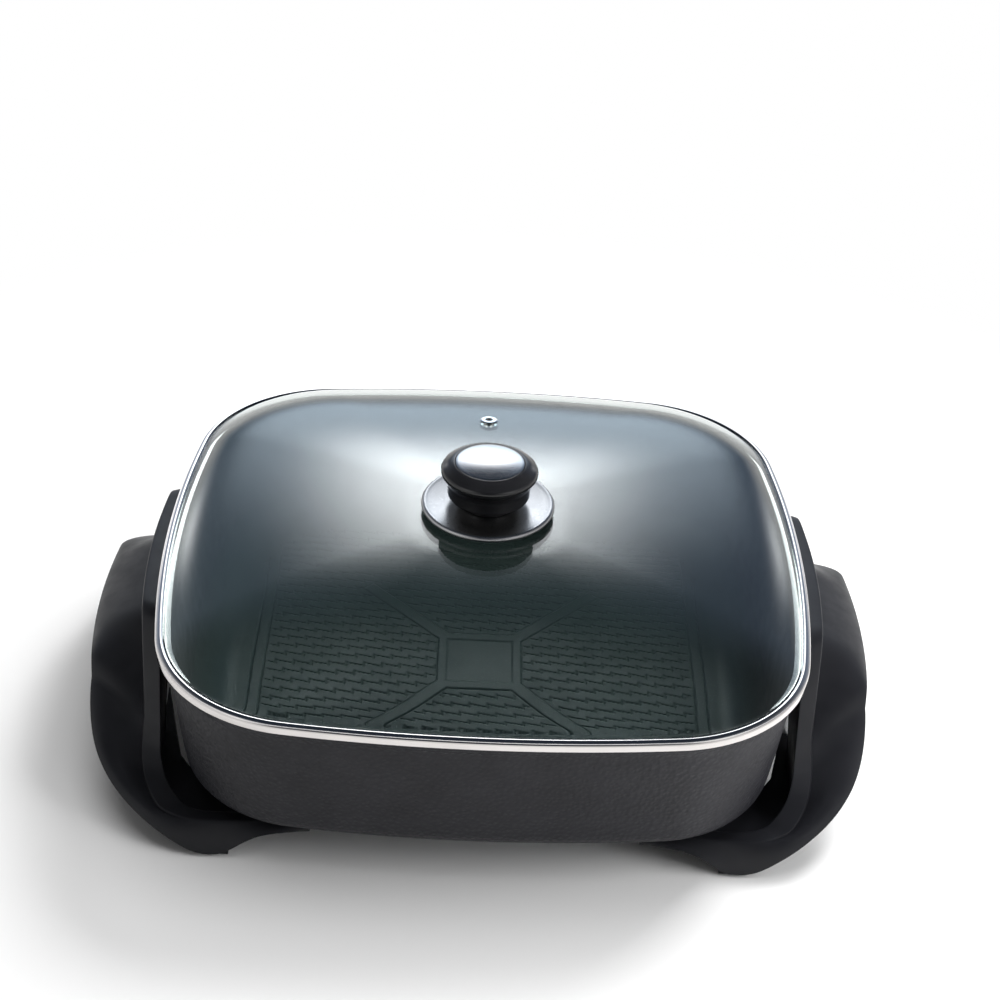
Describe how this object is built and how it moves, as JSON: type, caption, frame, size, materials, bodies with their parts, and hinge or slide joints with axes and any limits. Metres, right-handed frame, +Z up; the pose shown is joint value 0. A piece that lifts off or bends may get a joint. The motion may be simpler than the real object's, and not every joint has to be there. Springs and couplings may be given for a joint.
{
  "type": "electric skillet",
  "caption": "Deep square electric skillet: a cast pan on moulded brackets that form its handles and feet, heated from below, with a loose domed glass lid and a round knob.",
  "frame": {"origin": "on the surface it stands on, under the middle of the pan", "axes": "+X to the right, where the inlet is; +Y to the back; +Z up"},
  "size_m": [0.398, 0.318, 0.1519],
  "materials": {
    "coated_cast": "dark non-stick coating over a finely pitted casting",
    "moulding": "matt black phenolic",
    "lid_glass": "clear tempered glass",
    "bright_steel": "polished stainless steel",
    "fixing_steel": "plated steel",
    "guard_steel": "satin pressed steel",
    "knob_black": "satin black phenolic",
    "gasket": "silicone rubber",
    "brass": "plain",
    "ceramic": "glazed white ceramic",
    "sheath": "heat-dulled sheath"
  },
  "bodies": {
    "base": {"pan_body": "coated_cast", "left_bracket": "moulding", "right_bracket": "moulding", "bracket_screws": "fixing_steel", "bracket_washers": "fixing_steel", "heating_element": "sheath", "terminal_insulators": "ceramic", "terminal_pins": "fixing_steel", "probe_sleeve": "brass", "terminal_guard": "guard_steel", "guard_screws": "fixing_steel", "guard_washers": "fixing_steel"},
    "lid": {"lid_glass": "lid_glass", "lid_rim_band": "bright_steel", "vent_eyelet": "bright_steel", "knob_plate": "bright_steel", "knob_upper_gasket": "gasket", "knob_body": "knob_black", "knob_insert": "brass", "knob_disc": "bright_steel", "knob_lower_gasket": "gasket", "knob_washer": "fixing_steel", "knob_screw": "fixing_steel"}
  },
  "joints": [
    {"name": "lid_lift", "type": "slide", "parent": "base", "child": "lid", "axis": [0, 0, 1], "range_m": [0, 0.12]}
  ]
}
